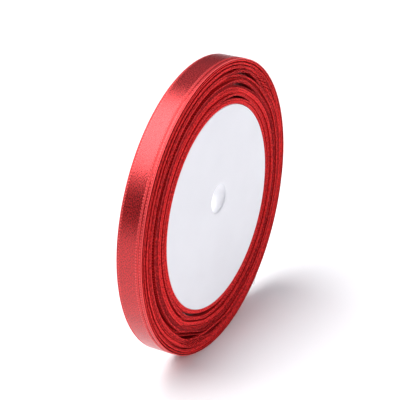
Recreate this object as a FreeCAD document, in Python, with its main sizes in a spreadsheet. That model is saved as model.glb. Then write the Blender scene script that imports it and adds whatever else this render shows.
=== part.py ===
import FreeCAD, Part
import os
import Sketcher
from FreeCAD import Placement, Rotation, Vector

# A roll of narrow satin ribbon on a core of foam board, standing on its edge.
# The spool's axis lies along Y, its front face looks towards -Y and +Z is up.
# The origin is in the middle of the punched bore, half-way through the core.

SIZES = [
    ("ribbon_width", 6.0, "width of the ribbon, selvedge to selvedge"),
    ("core_radius", 28.2, "the core is cut to this radius"),
    ("core_width", 6.0, "foam and both facings together"),
    ("facing_thickness", 0.3, "smooth white facing on each side of the foam"),
    ("bore_radius", 4.0, "hole punched for a rod or a peg"),
    ("bore_offset", 2.6, "how far the bore was punched above the middle of the core"),
    ("start_tape_thickness", 0.1, "tape under the first turn"),
    ("start_tape_width", 5.0, "tape under the first turn, across the core's edge"),
    ("start_tape_angle", 200.0, "degrees from +X, clockwise seen from the front"),
    ("start_tape_sweep", 40.0, "degrees of the core's edge under the first tape"),
    ("winding_gap", 0.15, "between the core and the winding, filled by the first tape"),
    ("winding_depth", 12.15, "all but the last turn together, from the core out"),
    ("pack_count", 5, "groups of turns that have slipped sideways together"),
    ("pack_step", 0.02, "how far each group lies further back than the one inside it"),
    ("pack_drop", 0.06, "how far each group hangs below the one inside it"),
    ("last_turn_depth", 0.25, "the last turn, with its slack"),
    ("last_turn_step", 0.95, "how far the last turn lies behind the turns under it"),
    ("end_gap", 0.25, "between the winding and what lifts off it"),
    ("end_thickness", 0.35, "stand-in for the ribbon's free end"),
    ("end_angle", 8.0, "where the free end leaves the roll, in degrees below +X"),
    ("end_sweep", 42.0, "degrees of roll that the free end covers"),
    ("tape_thickness", 0.15, "clear tape over the free end"),
    ("tape_width", 6.8, "clear tape, across the ribbon"),
    ("tape_overhang", 0.4, "how far the tape stands out past the ribbon's front edge"),
    ("tape_grip", 8.0, "degrees of the free end that the tape covers"),
    ("tape_sweep", 15.0, "degrees that the whole tape covers"),
]

doc = FreeCAD.newDocument("ribbon_spool")
sheet = doc.addObject("Spreadsheet::Sheet", "Sizes")
for row, (alias, number, note) in enumerate(SIZES, 1):
    sheet.set(f"A{row}", note)
    sheet.set(f"B{row}", str(number))
    sheet.setAlias(f"B{row}", alias)
doc.recompute()

FOAM_WIDTH = "(Sizes.core_width - 2 * Sizes.facing_thickness)"
WINDING_INSIDE = "(Sizes.core_radius + Sizes.winding_gap)"
LAST_TURN_INSIDE = f"({WINDING_INSIDE} + Sizes.winding_depth)"
WINDING_OUTSIDE = f"({LAST_TURN_INSIDE} + Sizes.last_turn_depth)"
END_INSIDE = f"({WINDING_OUTSIDE} + Sizes.end_gap)"
END_OUTSIDE = f"({END_INSIDE} + Sizes.end_thickness)"
LAST_SHIFT = "(Sizes.pack_step * (Sizes.pack_count - 1) + Sizes.last_turn_step)"
CORE_DROP = "Sizes.bore_offset"
LAST_DROP = f"({CORE_DROP} + Sizes.pack_drop * Sizes.pack_count)"
SUB_PARTS = []


def value(expression):
    """The number that an expression on the sheet gives now."""
    result = sheet.evalExpression(expression)
    return float(getattr(result, "Value", result))


def tie(sketch, kind, *where_and_expression):
    """A dimension between sketch points, bound to an expression."""
    *where, expression = where_and_expression
    index = sketch.addConstraint(Sketcher.Constraint(kind, *where, value(expression)))
    sketch.setExpression(f"Constraints[{index}]", expression)


def add_core_layer(label, thickness, front):
    """One layer of the core: a disc of foam or facing, with the bore punched through it.

    It is drawn flat with its front downwards and turned up on edge. front is where its front
    face lies along Y.
    """
    body = doc.addObject("PartDesign::Body", label)
    outline = body.newObject("Sketcher::SketchObject", f"{label}_outline")
    plane = next(f for f in body.Origin.OriginFeatures if f.Role == "XY_Plane")
    outline.AttachmentSupport = [(plane, "")]
    outline.MapMode = "FlatFace"
    below_bore = Vector(0, value(CORE_DROP), 0)
    upwards = Vector(0, 0, 1)
    edge = outline.addGeometry(Part.Circle(below_bore, upwards, value("Sizes.core_radius")))
    bore = outline.addGeometry(Part.Circle(Vector(0, 0, 0), upwards, value("Sizes.bore_radius")))
    tie(outline, "Radius", edge, "Sizes.core_radius")
    tie(outline, "Radius", bore, "Sizes.bore_radius")
    outline.addConstraint(Sketcher.Constraint("PointOnObject", edge, 3, -2))
    tie(outline, "DistanceY", -1, 1, edge, 3, CORE_DROP)
    outline.addConstraint(Sketcher.Constraint("Coincident", bore, 3, -1, 1))
    layer = body.newObject("PartDesign::Pad", f"{label}_layer")
    layer.Profile = outline
    layer.setExpression("Length", thickness)
    body.Placement = Placement(Vector(0, 0, 0), Rotation(Vector(1, 0, 0), -90))
    body.setExpression("Placement.Base.y", front)
    SUB_PARTS.append(body)


def add_ring(label, inside, outside, width, back, drop, hole_drop, start="0", sweep="360"):
    """A tube along the spool's axis, or the arc of one that starts below +X and runs clockwise.

    width is its size along Y, and back is how far its middle lies behind the core's middle.
    drop and hole_drop are how far the outside and the hole are centred below the bore.
    """
    cylinders = []
    for name, radius, angle, lower in (
        ("solid", outside, sweep, drop),
        ("hole", inside, "360", hole_drop),
    ):
        cylinder = doc.addObject("Part::Cylinder", f"{label}_{name}")
        cylinder.setExpression("Radius", radius)
        cylinder.setExpression("Height", width)
        cylinder.setExpression("Angle", angle)
        cylinder.Placement = Placement(Vector(0, 0, 0), Rotation(Vector(0, 0, 1), 1))
        cylinder.setExpression("Placement.Base.y", lower)
        cylinder.setExpression("Placement.Rotation.Angle", start)
        cylinders.append(cylinder)
    ring = doc.addObject("Part::Cut", label)
    ring.Base, ring.Tool = cylinders
    ring.Placement = Placement(Vector(0, 0, 0), Rotation(Vector(1, 0, 0), -90))
    ring.setExpression("Placement.Base.y", f"{back} - ({width}) / 2")
    return ring


def add_winding():
    """The wound ribbon: groups of turns that step back and hang lower, and the last turn."""
    depth = "Sizes.winding_depth / Sizes.pack_count"
    rings = [
        add_ring(
            f"pack_{number + 1}",
            f"{WINDING_INSIDE} + {number} * {depth}",
            f"{WINDING_INSIDE} + {number + 1} * {depth}",
            "Sizes.ribbon_width",
            f"{number} * Sizes.pack_step",
            f"{CORE_DROP} + {number + 1} * Sizes.pack_drop",
            f"{CORE_DROP} + {number} * Sizes.pack_drop",
        )
        for number in range(int(value("Sizes.pack_count")))
    ]
    rings.append(add_ring(
        "last_turn", LAST_TURN_INSIDE, WINDING_OUTSIDE, "Sizes.ribbon_width",
        LAST_SHIFT, LAST_DROP, LAST_DROP,
    ))
    winding = doc.addObject("Part::MultiFuse", "ribbon_winding")
    winding.Shapes = rings
    SUB_PARTS.append(winding)


add_core_layer("core_front_facing", "Sizes.facing_thickness", "-Sizes.core_width / 2")
add_core_layer("core_foam", FOAM_WIDTH, f"-{FOAM_WIDTH} / 2")
add_core_layer("core_rear_facing", "Sizes.facing_thickness", f"{FOAM_WIDTH} / 2")
SUB_PARTS.append(add_ring(
    "start_tape", "Sizes.core_radius", "Sizes.core_radius + Sizes.start_tape_thickness",
    "Sizes.start_tape_width", "0", CORE_DROP, CORE_DROP,
    "Sizes.start_tape_angle", "Sizes.start_tape_sweep",
))
add_winding()
SUB_PARTS.append(add_ring(
    "ribbon_free_end", END_INSIDE, END_OUTSIDE, "Sizes.ribbon_width",
    LAST_SHIFT, LAST_DROP, LAST_DROP, "Sizes.end_angle", "Sizes.end_sweep",
))
SUB_PARTS.append(add_ring(
    "end_tape", END_OUTSIDE, f"{END_OUTSIDE} + Sizes.tape_thickness", "Sizes.tape_width",
    f"{LAST_SHIFT} + (Sizes.tape_width - Sizes.ribbon_width) / 2 - Sizes.tape_overhang",
    LAST_DROP, LAST_DROP,
    "Sizes.end_angle + Sizes.end_sweep - Sizes.tape_grip", "Sizes.tape_sweep",
))

doc.recompute()
for thing in doc.Objects:
    if "Invalid" in thing.State or "Error" in thing.State:
        raise RuntimeError(f"{thing.Label} failed to build: {thing.State}")
for part in SUB_PARTS:
    if part.Shape.isNull() or not part.Shape.isValid() or len(part.Shape.Solids) != 1:
        raise RuntimeError(f"{part.Label} is not one valid solid")

os.makedirs("parts", exist_ok=True)
for part in SUB_PARTS:
    part.Shape.exportStep(f"parts/{part.Label}.step")
    box = part.Shape.BoundBox
    print(
        f"{part.Label}: {part.Shape.Volume:.1f} mm3, "
        f"X {box.XMin:.2f} to {box.XMax:.2f}, Y {box.YMin:.2f} to {box.YMax:.2f}, "
        f"Z {box.ZMin:.2f} to {box.ZMax:.2f}"
    )
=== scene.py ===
# %% [markdown]
# # A roll of satin ribbon
#
# The real thing is nearly twenty-three metres of red satin ribbon, 6 mm wide, wound on a disc of white
# foam board with a hole punched through it. The roll stands on its edge. A scrap of clear tape holds
# the ribbon's free end down.
#
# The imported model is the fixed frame: it says where the core, the winding, the free end and the tape
# are. Everything here is in metres, and places are read from the frame's boxes.

# %% Load the frame
import math

import bpy
import numpy as np
from mathutils import Matrix, Vector


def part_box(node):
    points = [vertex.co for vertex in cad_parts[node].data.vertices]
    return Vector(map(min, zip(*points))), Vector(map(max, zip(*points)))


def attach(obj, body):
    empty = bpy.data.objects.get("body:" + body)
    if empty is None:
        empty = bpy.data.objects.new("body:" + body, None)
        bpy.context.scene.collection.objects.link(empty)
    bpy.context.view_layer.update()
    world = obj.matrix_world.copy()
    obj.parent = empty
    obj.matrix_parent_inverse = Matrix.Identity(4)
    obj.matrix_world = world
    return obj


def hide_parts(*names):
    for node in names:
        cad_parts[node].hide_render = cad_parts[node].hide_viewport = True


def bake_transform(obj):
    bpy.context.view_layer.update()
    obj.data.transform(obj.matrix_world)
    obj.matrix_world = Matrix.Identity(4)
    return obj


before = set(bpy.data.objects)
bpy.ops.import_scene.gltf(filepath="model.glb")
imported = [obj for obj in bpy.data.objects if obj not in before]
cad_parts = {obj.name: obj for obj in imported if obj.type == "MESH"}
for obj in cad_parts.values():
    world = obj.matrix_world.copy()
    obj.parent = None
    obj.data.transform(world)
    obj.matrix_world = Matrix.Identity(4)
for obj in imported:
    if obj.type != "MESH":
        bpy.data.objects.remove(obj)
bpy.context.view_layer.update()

# %% [markdown]
# ## Sizes
#
# A spool is a stack of circles, so a few numbers carry it: the core's radius and middle, and the
# radius and middle of the last turn. The core's hole was punched a little high, and the loose turns
# hang a little low, so the three middles lie one under the other.

# %% Read the sizes from the frame
MM = 0.001
MICRON = 0.000001


def box(node):
    """The lowest and highest corners of a node, as numpy arrays."""
    low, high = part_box(node)
    return np.array(low), np.array(high)


core_low, core_high = box("core_front_facing")
rear_high = box("core_rear_facing")[1]
roll_low, roll_high = box("ribbon_winding")
end_low, end_high = box("ribbon_free_end")
tape_low, tape_high = box("end_tape")

CORE_RADIUS = (core_high[0] - core_low[0]) / 2
CORE_MIDDLE_Z = (core_high[2] + core_low[2]) / 2
CORE_FRONT = core_low[1]
CORE_BACK = rear_high[1]
FACING = core_high[1] - core_low[1]
BORE_RADIUS = 4.0 * MM
ROLL_RADIUS = (roll_high[0] - roll_low[0]) / 2
ROLL_MIDDLE_Z = (roll_high[2] + roll_low[2]) / 2
FLOOR_Z = roll_low[2]
RIBBON_WIDTH = end_high[1] - end_low[1]
LAST_TURN_Y = (end_high[1] + end_low[1]) / 2
print("core radius", CORE_RADIUS, "roll radius", ROLL_RADIUS, "ribbon", RIBBON_WIDTH)

# %% [markdown]
# ## Small helpers
#
# Blender's operators act on whatever is selected, so each step starts by deselecting everything. A
# finished piece keeps its place in its mesh, and its object stays at the origin. The ribbon and the
# tape both start as a flat grid, so one function cuts both.

# %% Helpers for objects
SMOOTH_UP_TO = math.radians(40)


def only(piece):
    """Select one object and make it active."""
    bpy.ops.object.select_all(action="DESELECT")
    piece.select_set(True)
    bpy.context.view_layer.objects.active = piece


def named_new(name):
    """The object that an operator has just added, with its name."""
    piece = bpy.context.object
    piece.name = piece.data.name = name
    return piece


def settle(piece):
    """Put the object's place, turn and size into its mesh."""
    only(piece)
    bpy.ops.object.transform_apply(location=True, rotation=True, scale=True)


def apply_modifier(piece, kind, **settings):
    """Add a modifier, set it and apply it."""
    only(piece)
    modifier = piece.modifiers.new(kind.title(), kind)
    for key, setting in settings.items():
        setattr(modifier, key, setting)
    bpy.ops.object.modifier_apply(modifier=modifier.name)


def smooth(piece):
    """Shade a piece smooth, but for its sharp corners."""
    only(piece)
    bpy.ops.object.shade_smooth_by_angle(angle=SMOOTH_UP_TO)


def corners_of(mesh):
    """A mesh's points as an array of rows."""
    points = np.empty(len(mesh.vertices) * 3)
    mesh.vertices.foreach_get("co", points)
    return points.reshape(-1, 3)


def move_corners(mesh, points):
    """Write a mesh's points back."""
    mesh.vertices.foreach_set("co", np.asarray(points, dtype=np.float32).ravel())
    mesh.update()


def report(piece):
    """Print what was made."""
    print(f"made {piece.name}: {len(piece.data.polygons)} faces")


def cut_flat(name, faces_along, faces_across):
    """A flat grid, and how far each corner lies along it (0 to 1) and across it (-0.5 to 0.5)."""
    bpy.ops.object.select_all(action="DESELECT")
    bpy.ops.mesh.primitive_grid_add(x_subdivisions=faces_along, y_subdivisions=faces_across, size=1)
    piece = named_new(name)
    flat = corners_of(piece.data)
    return piece, flat[:, 0] + 0.5, flat[:, 1]


# %% [markdown]
# ## How the ribbon is wound
#
# The ribbon is one strip of cloth, so it is modelled as one: a flat grid is laid along a spiral of
# about a hundred turns. Rings would be simpler, but the edges of a real roll drift in and out without
# ever meeting themselves, and only a spiral does that.
#
# Where a point lies is asked for by its turn, from 0 at the core to TURNS at the free end, and by how
# far it is across the ribbon. The last turn ends where the frame's free end does, and over its last
# fifth it climbs a quarter of a millimetre off the turn below.

# %% The spiral's plain sizes
TURNS = 105
WINDING_INSIDE = CORE_RADIUS + 0.15 * MM
DEPTH = ROLL_RADIUS - WINDING_INSIDE
CLOTH = 0.095 * MM
FREE_END_ANGLE = math.atan2(end_low[2] - ROLL_MIDDLE_Z, end_low[0])
LAST_TURN_RISE = 0.25 * MM
RISE_FROM_END = 0.12
RISE_TURNS = 0.08


def angle_at(turn):
    """The angle round the roll, from +X towards +Z, at a turn."""
    return FREE_END_ANGLE + math.tau * (TURNS - turn)


def length_to(turn):
    """Metres of ribbon from the core up to a turn."""
    return math.tau * (WINDING_INSIDE * turn + DEPTH * turn**2 / (2 * TURNS))


print("ribbon length", round(length_to(TURNS), 2), "m")

# %% [markdown]
# ## What a real roll does
#
# Three things stop a roll from looking like a turned disc. Groups of turns slip sideways together, so
# the side is a row of ridges and grooves. The roll is slack at the top and the bottom, so groups part
# and leave dark crescents. And the slack turns buckle into small waves.
#
# Each is a short list, with angles in degrees and lengths in millimetres. A ridge is given by the share
# of the winding's depth where it starts and by how far it lies behind the core's face. A crescent is
# given by its share, its angle, how far it reaches round the roll and how wide it opens. A wave is
# given by its share, angle and reach, by how thick a share of the depth buckles with it, and by its
# height and its length from crest to crest.
#
# Chance adds what no list needs to say: each turn's small wander, the way a ridge sways round the roll,
# and sixty gaps too small to place by hand. RIDGE_SWAY is a share of a ridge's depth, and RIDGE_WANDER
# is in millimetres, like the lists.

# %% Ridges, crescents and waves
RIDGES = [
    (0.000, 0.02), (0.090, 0.50), (0.110, 0.05), (0.200, 0.85), (0.265, -0.05), (0.380, 0.50),
    (0.398, 0.00), (0.500, 1.05), (0.590, 0.05), (0.700, 0.80), (0.728, 0.00), (0.800, 0.75),
    (0.825, 0.00), (0.880, 1.20), (0.915, 0.10), (0.942, 1.05), (0.967, -0.05),
]
LAST_STEP_AT = 0.9905
CRESCENTS = [
    (0.150, 72, 22, 0.95), (0.270, 88, 12, 0.35), (0.420, 66, 22, 1.10), (0.560, 84, 14, 0.40),
    (0.640, 64, 18, 1.20), (0.700, 82, 16, 0.55), (0.800, 38, 16, 0.70), (0.900, 60, 30, 0.25),
    (0.110, -112, 36, 1.10), (0.240, -84, 22, 0.45), (0.360, -116, 20, 0.55), (0.470, -104, 18, 0.70),
    (0.600, -118, 13, 1.70), (0.630, -96, 14, 1.50), (0.720, -74, 20, 0.45), (0.830, -124, 26, 0.40),
    (0.735, 50, 18, 0.40), (0.775, 45, 16, 0.45), (0.660, -114, 13, 0.35), (0.700, -111, 13, 0.40),
    (0.745, -108, 12, 0.30), (0.340, 80, 12, 0.30), (0.500, -84, 14, 0.35),
]
WAVES = [
    (0.76, 46, 17, 0.11, 0.50, 2.6), (0.66, 74, 13, 0.10, 0.36, 5.0),
    (0.30, 82, 12, 0.09, 0.28, 2.8), (0.70, -114, 13, 0.09, 0.55, 2.1),
    (0.50, -96, 16, 0.12, 0.36, 3.4), (0.32, -76, 14, 0.10, 0.26, 3.0),
    (0.45, 12, 24, 0.12, 0.12, 3.6), (0.60, 150, 30, 0.12, 0.10, 4.2),
    (0.55, -30, 24, 0.12, 0.12, 3.0),
]
SLIP_TURNS = 0.16
RIDGE_SWAY = 0.35
RIDGE_WANDER = 0.06
WAVE_LEAN = 0.8
WINDOW_FULLNESS = 0.8
JITTER = 0.06 * MM
DRIFT = 0.07 * MM
DRIFT_TURNS = 3.3
TONE_TURNS = 1.9
TONE_SHIFT = 5
SMALL_GAPS = 60
rng = np.random.default_rng(7)
turn_jitter = rng.normal(0, 1, TURNS + 3)
turn_drift = rng.normal(0, 1, TURNS + 3)
ridge_phase = rng.uniform(0, math.tau, (len(RIDGES) + 1, 2))
small_gaps = [
    (rng.uniform(0.03, 0.95), rng.uniform(-180, 180), rng.uniform(20, 60), rng.uniform(0.04, 0.22))
    for _ in range(SMALL_GAPS)
]


def soft_step(x):
    """0 below -1, 1 above 1, smooth between."""
    t = np.clip((x + 1) / 2, 0, 1)
    return t * t * (3 - 2 * t)


def window(angle, middle_deg, reach_deg):
    """1 at an angle round the roll, falling smoothly to 0 at its reach on both sides."""
    away = (angle - math.radians(middle_deg) + math.pi) % math.tau - math.pi
    t = np.clip(np.abs(away) / math.radians(reach_deg), 0, 1)
    return (0.5 + 0.5 * np.cos(math.pi * t)) ** WINDOW_FULLNESS


def crossing(share, middle_deg):
    """The turn nearest to a share of the depth that is passed opposite an angle."""
    opposite = math.radians(middle_deg) + math.pi
    turn = share * TURNS
    return turn + ((angle_at(turn) - opposite + math.pi) % math.tau - math.pi) / math.tau


def depth_share(turn, angle):
    """How far out a turn lies, from 0 to 1, with the crescents open and the waves in."""
    share, room = turn / TURNS, np.ones_like(turn)
    for at, middle, reach, opening in CRESCENTS + small_gaps:
        opened = opening * MM / DEPTH * window(angle, middle, reach)
        share = share + opened * (turn > crossing(at, middle))
        room = room + opened
    share = share / room
    for at, middle, reach, thick, height, wavelength in WAVES:
        along = angle * WINDING_INSIDE / (wavelength * MM) * math.tau
        along = along + WAVE_LEAN * np.sin(along)
        across = np.exp(-(((turn / TURNS - at) / thick) ** 2))
        share = share + height * MM / DEPTH * across * window(angle, middle, reach) * np.sin(along)
    return share


def slip(turn, angle):
    """How far the ribbon's middle lies behind the core's, with its ridges, wander and last step."""
    level = before = np.full_like(turn, RIDGES[0][1])
    for (at, behind), (phase, other_phase) in zip(RIDGES[1:], ridge_phase):
        swayed = behind * (1 + RIDGE_SWAY * np.sin(angle + phase))
        swayed = swayed + RIDGE_WANDER * np.sin(2 * angle + other_phase)
        level = level + (swayed - before) * soft_step((turn - at * TURNS) / SLIP_TURNS)
        before = swayed
    counts = np.arange(TURNS + 3)
    wander = JITTER * np.interp(turn, counts, turn_jitter)
    wander = wander + DRIFT * np.interp(turn, counts * DRIFT_TURNS, turn_drift)
    last = soft_step((turn - LAST_STEP_AT * TURNS) / SLIP_TURNS)
    return (level * MM + wander) * (1 - last) + LAST_TURN_Y * last


def place(turn, across):
    """Where a point of the ribbon lies; across runs from -0.5 at the front edge to 0.5 at the back."""
    angle = angle_at(turn)
    rise = LAST_TURN_RISE * soft_step((turn - TURNS + RISE_FROM_END) / RISE_TURNS)
    radius = WINDING_INSIDE + DEPTH * depth_share(turn, angle) + rise
    middle_z = CORE_MIDDLE_Z + (ROLL_MIDDLE_Z - CORE_MIDDLE_Z) * turn / TURNS
    y = slip(turn, angle) + across * RIBBON_WIDTH
    return np.stack([radius * np.cos(angle), y, middle_z + radius * np.sin(angle)], axis=1)


# %% [markdown]
# ## The wound ribbon
#
# The cloth is cut flat first. Each stretch starts as a grid as long as its turns, every corner of
# which is then moved onto the spiral. The UV map keeps the flat cut in metres, so the weave follows
# the ribbon however it bends, and an attribute called tone makes packs of turns a little lighter or
# darker. Solidify gives the cloth its thickness last.
#
# The turns that are only seen by their edges need one face across. The last turns show their whole
# width, so they get many.

# %% Wind a stretch of ribbon


def wind(name, first, last, faces_per_turn, faces_across):
    """A stretch of ribbon from one turn to another."""
    piece, along, across = cut_flat(name, max(2, round((last - first) * faces_per_turn)), faces_across)
    turn = first + along * (last - first)
    uv = np.stack([length_to(turn), across * RIBBON_WIDTH], axis=1)
    corner = np.empty(len(piece.data.loops), dtype=np.int32)
    piece.data.loops.foreach_get("vertex_index", corner)
    piece.data.uv_layers.active.data.foreach_set("uv", uv[corner].astype(np.float32).ravel())
    tone = piece.data.attributes.new("tone", "FLOAT", "POINT")
    shade = np.interp(turn, np.arange(len(turn_jitter)) * TONE_TURNS, np.roll(turn_jitter, TONE_SHIFT))
    tone.data.foreach_set("value", shade.astype(np.float32))
    move_corners(piece.data, place(turn, across))
    only(piece)
    bpy.ops.object.mode_set(mode="EDIT")
    bpy.ops.mesh.select_all(action="SELECT")
    bpy.ops.mesh.flip_normals()
    bpy.ops.object.mode_set(mode="OBJECT")
    apply_modifier(piece, "SOLIDIFY", thickness=CLOTH, offset=0)
    smooth(piece)
    report(piece)
    return piece


INNER_LAST = 52
MIDDLE_LAST = 101
FREE_END_DEG = 55
FREE_FROM = TURNS - FREE_END_DEG / 360
EDGE_FACES, WIDE_FACES = 1, 14
inner_turns = wind("ribbon_inner_turns", 0, INNER_LAST, 320, EDGE_FACES)
middle_turns = wind("ribbon_middle_turns", INNER_LAST, MIDDLE_LAST, 340, EDGE_FACES)
outer_turns = wind("ribbon_outer_turns", MIDDLE_LAST, FREE_FROM, 400, WIDE_FACES)
free_end = wind("ribbon_last_stretch", FREE_FROM, TURNS, 700, WIDE_FACES)

# %% [markdown]
# ## The core
#
# Foam board is a sheet of foam with a smooth facing on each side. A disc is cut from it, and the bore
# is punched from the front, which drags the facing a little way into the hole. Each layer is made from
# two circles that are bridged, thickened by extruding, and rounded at the edges.

# %% Make one layer of the core
CIRCLE_POINTS = 192
ROUND_ABOVE = math.radians(50)


def circle_of(radius, middle_z):
    """A circle standing upright in the XZ plane."""
    bpy.ops.object.select_all(action="DESELECT")
    bpy.ops.mesh.primitive_circle_add(
        vertices=CIRCLE_POINTS, radius=radius, location=(0, 0, middle_z), rotation=(math.pi / 2, 0, 0)
    )
    piece = bpy.context.object
    settle(piece)
    return piece


def core_layer(name, front, back, rounding, rings):
    """A disc with the bore in it, from its front face to its back face."""
    outer = circle_of(CORE_RADIUS, CORE_MIDDLE_Z)
    inner = circle_of(BORE_RADIUS, 0)
    only(outer)
    inner.select_set(True)
    bpy.ops.object.join()
    piece = named_new(name)
    bpy.ops.object.mode_set(mode="EDIT")
    bpy.ops.mesh.select_all(action="SELECT")
    bpy.ops.mesh.bridge_edge_loops(number_cuts=rings, interpolation="LINEAR")
    bpy.ops.mesh.select_all(action="SELECT")
    bpy.ops.mesh.extrude_region_move(TRANSFORM_OT_translate={"value": (0, back - front, 0)})
    bpy.ops.mesh.select_all(action="SELECT")
    bpy.ops.mesh.normals_make_consistent(inside=False)
    bpy.ops.object.mode_set(mode="OBJECT")
    points = corners_of(piece.data)
    points[:, 1] += front
    move_corners(piece.data, points)
    apply_modifier(
        piece, "BEVEL", width=rounding, segments=4, limit_method="ANGLE", angle_limit=ROUND_ABOVE
    )
    smooth(piece)
    return piece


foam = core_layer(
    "core_foam_disc", CORE_FRONT + FACING, CORE_BACK - FACING, rounding=0.05 * MM, rings=4
)
report(foam)

# %% [markdown]
# ## The facings
#
# The punch pulls the front facing down into the bore, so its lip is rounded and dips. The film is also
# never dead flat: it rises and falls by a few hundredths of a millimetre over the foam, which shows as
# soft changes in the light. Both are moves of the layer's points.

# %% Make the facings
FACING_RINGS = 40
FACING_ROUNDING = 0.1 * MM
LIP_REACH = 0.5 * MM
SWELL = 0.02 * MM
SWELL_ACROSS, SWELL_UP = 9 * MM, 11 * MM


def dress_facing(piece, outward, dip):
    """Draw the facing into the bore and let it wander over the foam."""
    points = corners_of(piece.data)
    from_bore = np.hypot(points[:, 0], points[:, 2]) - BORE_RADIUS
    drawn = dip * np.exp(-from_bore / LIP_REACH)
    x, z = points[:, 0] / SWELL_ACROSS, points[:, 2] / SWELL_UP
    wander = SWELL * (np.sin(x + 1.3 * z) + np.sin(1.7 * z - 0.8 * x + 2))
    edge = np.clip((CORE_RADIUS - np.hypot(points[:, 0], points[:, 2] - CORE_MIDDLE_Z)) / MM, 0, 1)
    points[:, 1] -= outward * (drawn - wander * edge)
    move_corners(piece.data, points)
    report(piece)


front_facing = core_layer(
    "core_front_facing_film", CORE_FRONT, CORE_FRONT + FACING, FACING_ROUNDING, FACING_RINGS
)
dress_facing(front_facing, outward=-1, dip=0.28 * MM)
rear_facing = core_layer(
    "core_rear_facing_film", CORE_BACK - FACING, CORE_BACK, FACING_ROUNDING, FACING_RINGS
)
dress_facing(rear_facing, outward=1, dip=0.1 * MM)

# %% [markdown]
# ## The clear tape
#
# A scrap of tape holds the free end. It is a grid like the ribbon, laid over the end a little askew.
# Past the ribbon's end it comes down onto the roll, but its front corner there has come unstuck and
# curls away.

# %% Stick the tape on
TAPE_FILM = 0.05 * MM
TAPE_FROM_DEG, TAPE_TO_DEG = -42, -57
TAPE_SKEW = 0.5 * MM
SKEW_PIVOT = 0.4
DROP_PAST_END_DEG, DROP_OVER_DEG = 0.8, 1.2
TAPE_CURL = 1.9 * MM


def make_tape():
    """The tape over the free end."""
    piece, along, across = cut_flat("end_tape_film", faces_along=48, faces_across=24)
    angle = np.radians(TAPE_FROM_DEG + (TAPE_TO_DEG - TAPE_FROM_DEG) * along)
    drop_at = math.degrees(FREE_END_ANGLE) - DROP_PAST_END_DEG
    past = soft_step((drop_at - np.degrees(angle)) / DROP_OVER_DEG)
    over_ribbon = ROLL_RADIUS + LAST_TURN_RISE + CLOTH
    lift = TAPE_CURL * np.clip(-across * 2, 0, 1) ** 2 * along**2
    radius = over_ribbon - (over_ribbon - ROLL_RADIUS - CLOTH) * past + lift
    width = tape_high[1] - tape_low[1]
    y = (tape_high[1] + tape_low[1]) / 2 + across * width - TAPE_SKEW * (along - SKEW_PIVOT)
    x, z = radius * np.cos(angle), ROLL_MIDDLE_Z + radius * np.sin(angle)
    move_corners(piece.data, np.stack([x, y, z], axis=1))
    apply_modifier(piece, "SOLIDIFY", thickness=TAPE_FILM, offset=1)
    smooth(piece)
    report(piece)
    return piece


tape = make_tape()

# %% [markdown]
# ## Writing materials as sums
#
# A material is a tree of nodes. To read it like a formula, a small class wraps an output socket, and
# adding or multiplying two of them adds the Math node that does it. A second class holds one material,
# and its node method adds every other kind of node.

# %% The classes for shader maths


class Wire:
    """A value on its way through a material's nodes."""

    def __init__(self, finish, socket):
        self.finish = finish
        self.socket = socket

    def math(self, operation, *others):
        """One Math node on this value."""
        sockets = dict(enumerate((self, *others)))
        return self.finish.node("ShaderNodeMath", sockets, operation=operation)

    def __add__(self, other):
        return self.math("ADD", other)

    def __sub__(self, other):
        return self.math("SUBTRACT", other)

    def __rsub__(self, other):
        return (self * -1) + other

    def __mul__(self, other):
        return self.math("MULTIPLY", other)

    def __truediv__(self, other):
        return self.math("DIVIDE", other)

    def __pow__(self, other):
        return self.math("POWER", other)

    __radd__ = __add__
    __rmul__ = __mul__

    def sin(self):
        """The sine, in radians."""
        return self.math("SINE")

    def abs(self):
        """The size without its sign."""
        return self.math("ABSOLUTE")

    def band(self, low, high):
        """0 below low, 1 above high, smooth between."""
        sockets = {"Value": self, "From Min": low, "From Max": high}
        return self.finish.node("ShaderNodeMapRange", sockets, interpolation_type="SMOOTHSTEP")


class Finish:
    """One material, with a Principled shader at its end."""

    def __init__(self, name, **constants):
        self.material = bpy.data.materials.new(name)
        self.material.use_nodes = True
        self.tree = self.material.node_tree
        self.shader = self.tree.nodes["Principled BSDF"]
        for key, value in constants.items():
            self.shader.inputs[key.replace("_", " ")].default_value = value

    def node(self, kind, sockets=None, result=0, **settings):
        """Add a node: its settings first, then its sockets, by name or number."""
        new = self.tree.nodes.new(kind)
        for key, setting in settings.items():
            setattr(new, key, setting)
        for key, value in (sockets or {}).items():
            if isinstance(value, Wire):
                self.tree.links.new(value.socket, new.inputs[key])
            else:
                new.inputs[key].default_value = value
        return Wire(self, new.outputs[result])

    def parts(self, vector):
        """The X, Y and Z of a vector."""
        split = self.node("ShaderNodeSeparateXYZ", {"Vector": vector}).socket.node
        return [Wire(self, output) for output in split.outputs]

    def drive(self, socket, wire):
        """Feed one of the shader's sockets."""
        self.tree.links.new(wire.socket, self.shader.inputs[socket])

    def blend(self, factor, first, second):
        """A colour between two colours."""
        sockets = {0: factor, 6: first, 7: second}
        return self.node("ShaderNodeMix", sockets, result=2, data_type="RGBA")

    def noise(self, where, scale, detail=3.0, roughness=0.5):
        """Soft noise from 0 to 1."""
        sockets = {"Vector": where, "Scale": scale, "Detail": detail, "Roughness": roughness}
        return self.node("ShaderNodeTexNoise", sockets)

    def bump(self, height, distance, strength=1.0):
        """Feed the shader a bump from a height."""
        sockets = {"Height": height, "Distance": distance, "Strength": strength}
        self.drive("Normal", self.node("ShaderNodeBump", sockets, result="Normal"))
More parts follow.
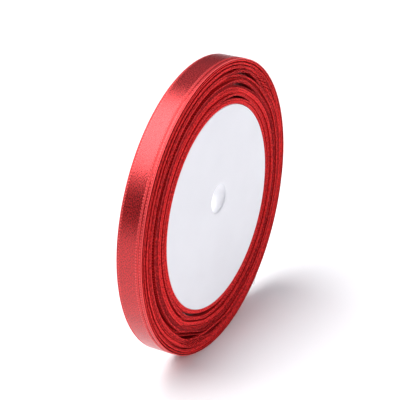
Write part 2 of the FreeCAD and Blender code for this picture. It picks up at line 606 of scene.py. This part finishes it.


# %% [markdown]
# ## Satin
#
# Satin ribbon is woven so that long threads lie on its face, which is why it shines in a broad soft
# band. Between them a faint slanting grain shows. Near both edges a firmer selvedge is woven, with a
# row of small stitches just inside it; the stitches are also painted lighter and pink, a painted glint
# on their loops. The UV map is in metres of ribbon, so the pattern is written in millimetres along and
# across. Of the two noises, the streaks are counted per millimetre, and the fuzz per radian round the
# roll and per millimetre outward.
#
# The side of the roll is made of the ribbon's edges alone. There the cloth is duller, its colour
# changes from pack to pack with the tone attribute, and noise drawn out round the roll gives the fuzz
# of cut threads. Two finishes come from one function: a shiny one for the last turns, which show their
# face, and a dull one for the turns that only show an edge.

# %% The satin finishes
HALF_WIDTH_MM = RIBBON_WIDTH / MM / 2
PER_MM = 1 / MM
SELVEDGE = (0.42, 0.62)
RIM = (0.0, 0.2)
STITCH_INSET, STITCH_SPREAD, STITCH_PERIOD = 0.50, 0.17, 0.80
GRAIN_PERIOD = 0.62
THREAD_PERIOD = 0.2
LOOP_PERIOD = 0.41
PATCHES_PER_METRE = 140.0
STREAKS_ALONG, STREAKS_ACROSS = 2.4, 4.2
FUZZ_ROUND, FUZZ_OUT = 44, 3.6
FACE_DARK, FACE_BRIGHT = (0.11, 0.001, 0.003, 1), (0.69, 0.009, 0.013, 1)
RIM_DARK, RIM_BRIGHT = (0.28, 0.003, 0.007, 1), (1.0, 0.042, 0.044, 1)
# The stitch row is woven, but its light pink is a painted glint on the stitches' loops.
STITCH_GLINT_PINK = (1.0, 0.18, 0.17, 1)
WEAVE_RELIEF = 34 * MICRON


def ripple(position, period):
    """A sine wave along a position."""
    return (position * (math.tau / period)).sin()


def satin(name, shine, roughness):
    """Red satin, woven along the UV map."""
    made = Finish(name, IOR=1.65, Specular_IOR_Level=shine)
    uv = made.node("ShaderNodeUVMap", uv_map="UVMap")
    u, v, _ = made.parts(uv)
    along, across = u * PER_MM, v * PER_MM
    inset = HALF_WIDTH_MM - across.abs()

    # What is woven into the ribbon.
    selvedge = 1 - inset.band(*SELVEDGE)
    stitch_row = (((inset - STITCH_INSET) / STITCH_SPREAD) ** 2 * -1).math("EXPONENT")
    stitches = stitch_row * (0.5 + 0.5 * ripple(along, STITCH_PERIOD)) ** 2
    grain = (along * (math.tau / STITCH_PERIOD) + across * (math.tau / GRAIN_PERIOD)).sin()
    threads = ripple(across, THREAD_PERIOD)
    loops = ripple(along, LOOP_PERIOD) * selvedge

    # What varies from place to place: patches, packs of turns, streaks, and fuzz round the roll.
    patches_at = made.node("ShaderNodeVectorMath", {0: uv, 3: PATCHES_PER_METRE}, operation="SCALE")
    patchy = made.noise(patches_at, 1.0)
    tone = made.node("ShaderNodeAttribute", result="Fac", attribute_name="tone")
    streak_sockets = {"X": along * STREAKS_ALONG, "Y": across * STREAKS_ACROSS}
    streaks = made.noise(made.node("ShaderNodeCombineXYZ", streak_sockets), 1.0, 2)
    x, _, z = made.parts(made.node("ShaderNodeTexCoord", result="Object"))
    sideways, upward = x * PER_MM, z * PER_MM
    round_at = upward.math("ARCTAN2", sideways) * FUZZ_ROUND
    out_at = (sideways * sideways + upward * upward) ** 0.5 * FUZZ_OUT
    fuzz = made.noise(made.node("ShaderNodeCombineXYZ", {"X": round_at, "Y": out_at}), 1.0, 2)

    # Each number here is how much its part of the cloth lightens or darkens the red.
    edge = 1 - inset.band(*RIM)
    # The stitches' strong lightening here is a painted glint; their row itself is woven.
    light = patchy * 0.25 + tone * (0.03 + edge * 0.26) + grain * 0.05 * (1 - selvedge) + stitches * 0.9
    light = light + loops * 0.08 + 0.40 + edge * 0.20
    light = light + (streaks - 0.5) * 1.5 * (1 - selvedge) + (fuzz - 0.5) * edge * 2.6
    face = made.blend(light.band(0, 1), FACE_DARK, FACE_BRIGHT)
    rim = made.blend(light.band(0, 1), RIM_DARK, RIM_BRIGHT)
    # The pink mixed into the stitches is a painted glint.
    made.drive("Base Color", made.blend(stitches * 0.4, made.blend(edge, face, rim), STITCH_GLINT_PINK))
    made.drive("Metallic", 0.66 - edge * 0.3)
    made.drive("Roughness", roughness + selvedge * 0.26 + patchy * 0.06 + (streaks - 0.5) * 0.3)
    height = grain * 0.15 + threads * 0.1 + streaks + stitches * 1.5 + loops * 0.5 + fuzz * edge * 2
    made.bump(height, WEAVE_RELIEF, 0.8)
    return made.material


red_satin = satin("red_satin", shine=1.0, roughness=0.25)
red_edges = satin("red_satin_edges", shine=0.15, roughness=0.5)

# %% [markdown]
# ## White film and foam
#
# The facing is a matte white film with the faintest tooth. The foam behind it is seen only in the bore,
# where its cut wall shows the foam's small cells. Light soaks into the board and out again there;
# subsurface scattering does a part of that. The rest of the wall's brightness is painted light: a faint
# emission that grows with the depth in the bore and fades towards its top.

# %% The white and clear finishes
FILM_WHITES = (0.83, 0.83, 0.87, 1), (0.86, 0.86, 0.90, 1)
FOAM_WHITES = (0.96, 0.96, 0.97, 1), (0.90, 0.90, 0.94, 1)
TAPE_WHITES = (0.80, 0.78, 0.80, 1), (0.93, 0.92, 0.93, 1)
# Painted light in the bore: the emission runs from grey near the front and top of the wall to white
# deep in the bore and low down.
PAINTED_GLOW_GREY, PAINTED_GLOW_WHITE = (0.34, 0.34, 0.36, 1), (1, 1, 1, 1)
PAINTED_GLOW_FROM, PAINTED_GLOW_TO = CORE_FRONT - 1.0 * MM, CORE_FRONT + 5.6 * MM
PAINTED_GLOW_HEIGHT = 2.5 * MM
FILM_TOOTH, CELL_RELIEF, TAPE_RELIEF = 8 * MICRON, 40 * MICRON, 15 * MICRON


def facing_film():
    """Matte white film."""
    made = Finish("white_film", IOR=1.46, Specular_IOR_Level=0.35, Subsurface_Weight=0.15,
                  Subsurface_Radius=(1, 1, 1), Subsurface_Scale=0.6 * MM)
    where = made.node("ShaderNodeTexCoord", result="Object")
    cloudy = made.noise(where, scale=60.0, detail=4)
    tooth = made.noise(where, scale=9000.0, detail=2)
    made.drive("Base Color", made.blend(cloudy.band(0.3, 0.7), *FILM_WHITES))
    made.drive("Roughness", 0.5 + cloudy * 0.12)
    made.bump(tooth * 0.6 + cloudy * 2.0, FILM_TOOTH, 0.5)
    return made.material


def cut_foam():
    """White polystyrene foam where it has been cut, with painted light glowing on the wall of the bore.
    """
    made = Finish("cut_foam", IOR=1.4, Specular_IOR_Level=0.25, Subsurface_Weight=0.6,
                  Subsurface_Radius=(1, 1, 1), Subsurface_Scale=2.5 * MM, Emission_Strength=0.17)
    where = made.node("ShaderNodeTexCoord", result="Object")
    cells = made.node("ShaderNodeTexVoronoi", {"Vector": where, "Scale": 2200.0})
    walls = cells.band(0.0, 0.6)
    made.drive("Base Color", made.blend(walls, *FOAM_WHITES))
    made.drive("Roughness", 0.55 + walls * 0.2)
    _, y, z = made.parts(where)
    # Painted light: the emission grows with the depth in the bore and fades towards its top.
    depth, height = y.band(PAINTED_GLOW_FROM, PAINTED_GLOW_TO), z.band(-PAINTED_GLOW_HEIGHT, PAINTED_GLOW_HEIGHT)
    painted_glow = depth * (1 - height * 0.85)
    made.drive("Emission Color", made.blend(painted_glow, PAINTED_GLOW_GREY, PAINTED_GLOW_WHITE))
    made.bump(walls, CELL_RELIEF, 0.6)
    return made.material


def clear_film():
    """Clear adhesive tape, a little hazy with scuffs and trapped air."""
    made = Finish("clear_film", IOR=1.47, Specular_IOR_Level=0.6)
    where = made.node("ShaderNodeTexCoord", result="Object")
    haze = made.noise(where, scale=1500.0, detail=3)
    scuff = made.noise(where, scale=420.0, detail=5, roughness=0.65)
    made.drive("Base Color", made.blend(haze.band(0.3, 0.7), *TAPE_WHITES))
    made.drive("Alpha", 0.22 + haze.band(0.5, 0.75) * 0.16)
    made.drive("Roughness", 0.12 + scuff * 0.2)
    made.bump(scuff, TAPE_RELIEF, 0.5)
    return made.material


def dress(piece, material):
    """Give a piece its finish."""
    piece.data.materials.clear()
    piece.data.materials.append(material)


white_film, foam_finish, tape_finish = facing_film(), cut_foam(), clear_film()
for piece in (front_facing, rear_facing):
    dress(piece, white_film)
dress(foam, foam_finish)
for piece in (inner_turns, middle_turns):
    dress(piece, red_edges)
for piece in (outer_turns, free_end):
    dress(piece, red_satin)
dress(tape, tape_finish)

# The start tape stays as it was packed, because the turns hide it. It only needs its finish.
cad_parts["start_tape"].data.materials.clear()
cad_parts["start_tape"].data.materials.append(tape_finish)

# %% [markdown]
# ## What moves with what
#
# The core and the winding are one body. The tape is tied to a body of its own for the free end, and the
# free end's stretch only has its place put into its mesh.
#
# A piece that shows a imported node takes that node's place, and the three wound stretches share one.

# %% Tie the pieces to the bodies
for piece in (inner_turns, middle_turns, outer_turns, front_facing, rear_facing, foam):
    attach(piece, "roll")
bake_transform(free_end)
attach(tape, "free_end")
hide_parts("core_front_facing")
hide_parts("core_rear_facing")
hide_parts("core_foam")
for piece in (inner_turns, middle_turns, outer_turns):
    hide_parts("ribbon_winding")
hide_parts("ribbon_free_end")
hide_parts("end_tape")

# %% [markdown]
# The ribbon is a sheet of cloth, so for each stretch the length it was cut to is printed. A declared
# width has a least value, so the area carries the ribbon's real width.


def declare(piece, first, last):
    """Print how long this stretch was cut."""
    length = float(length_to(last) - length_to(first))
    print(f"{piece.name}: {length:.3f} m of ribbon")


declare(inner_turns, 0, INNER_LAST)
declare(middle_turns, INNER_LAST, MIDDLE_LAST)
declare(outer_turns, MIDDLE_LAST, FREE_FROM)
declare(free_end, FREE_FROM, TURNS)

# %% [markdown]
# ## Floor, light and camera
#
# The roll stands on a white sweep. One large soft light, high on the camera's left, draws the shine on
# the satin and the long soft shadow. A small one fills the front, and a bright room does the rest: its
# light grows from the horizon up.

# %% Set the stage
AIM = Vector((0, 0, CORE_MIDDLE_Z))
FLOOR_SIZE = 6
FLOOR_WHITE = (0.97, 0.97, 0.98, 1)
ROOM_COLOUR = (0.90, 0.91, 1.0, 1)
ROOM_BY_HEIGHT = {"From Min": 0.05, "From Max": 0.75, "To Min": 0.05, "To Max": 0.38}


def make_floor():
    """A white floor under the last turn."""
    bpy.ops.object.select_all(action="DESELECT")
    bpy.ops.mesh.primitive_plane_add(size=FLOOR_SIZE, location=(0, 0, FLOOR_Z))
    piece = named_new("floor")
    made = Finish("white_sweep", Base_Color=FLOOR_WHITE, Roughness=0.6, Specular_IOR_Level=0.1)
    piece.data.materials.append(made.material)


def add_light(name, towards, distance, width, depth, power):
    """A soft light that looks at the roll from a direction."""
    direction = Vector(towards).normalized()
    bpy.ops.object.light_add(type="AREA", location=AIM + direction * distance)
    light = named_new(name)
    side = Vector((0, 1, 0)).cross(direction).normalized()
    light.rotation_euler = Matrix((side, direction.cross(side), direction)).transposed().to_euler()
    light.data.shape = "RECTANGLE"
    light.data.size, light.data.size_y = width, depth
    light.data.energy = power


def make_room():
    """A bright room round the roll, dim at the horizon."""
    world = bpy.data.worlds.new("bright_room")
    world.use_nodes = True
    tree = world.node_tree
    background = tree.nodes["Background"]
    background.inputs["Color"].default_value = ROOM_COLOUR
    look = tree.nodes.new("ShaderNodeTexCoord")
    split = tree.nodes.new("ShaderNodeSeparateXYZ")
    dimming = tree.nodes.new("ShaderNodeMapRange")
    for socket, setting in ROOM_BY_HEIGHT.items():
        dimming.inputs[socket].default_value = setting
    tree.links.new(look.outputs["Generated"], split.inputs["Vector"])
    tree.links.new(split.outputs["Z"], dimming.inputs["Value"])
    tree.links.new(dimming.outputs["Result"], background.inputs["Strength"])
    bpy.context.scene.world = world


make_floor()
add_light("key", towards=(-0.32, 0.36, 1.0), distance=1.2, width=1.32, depth=0.80, power=20.5)
add_light("front_fill", towards=(0.10, -1.0, 0.60), distance=1.4, width=0.5, depth=0.5, power=6.4)
make_room()
bpy.context.scene.view_settings.view_transform = "Standard"

# %% [markdown]
# The camera looks slightly down and along the roll, so that the face is a narrow ellipse and the last
# turn shows beside it.

# %% Place the camera
AZIMUTH, ELEVATION = math.radians(-61.5), math.radians(26.5)
CAMERA_DISTANCE = 8 * ROLL_RADIUS
FIELD_WIDTH = 107.8 * MM
OFF_RIGHT, OFF_UP = 2.55 * MM, 1.41 * MM

outward = math.cos(ELEVATION)
back = Vector((math.sin(AZIMUTH) * outward, -math.cos(AZIMUTH) * outward, math.sin(ELEVATION)))
right = Vector((math.cos(AZIMUTH), math.sin(AZIMUTH), 0))
up = back.cross(right)
bpy.ops.object.camera_add(location=AIM + back * CAMERA_DISTANCE - right * OFF_RIGHT + up * OFF_UP)
camera = named_new("camera")
camera.rotation_mode = "QUATERNION"
camera.rotation_quaternion = back.to_track_quat("Z", "Y")
camera.data.lens = camera.data.sensor_width * CAMERA_DISTANCE / FIELD_WIDTH
camera.data.clip_start, camera.data.clip_end = 0.01, 50
bpy.context.scene.camera = camera
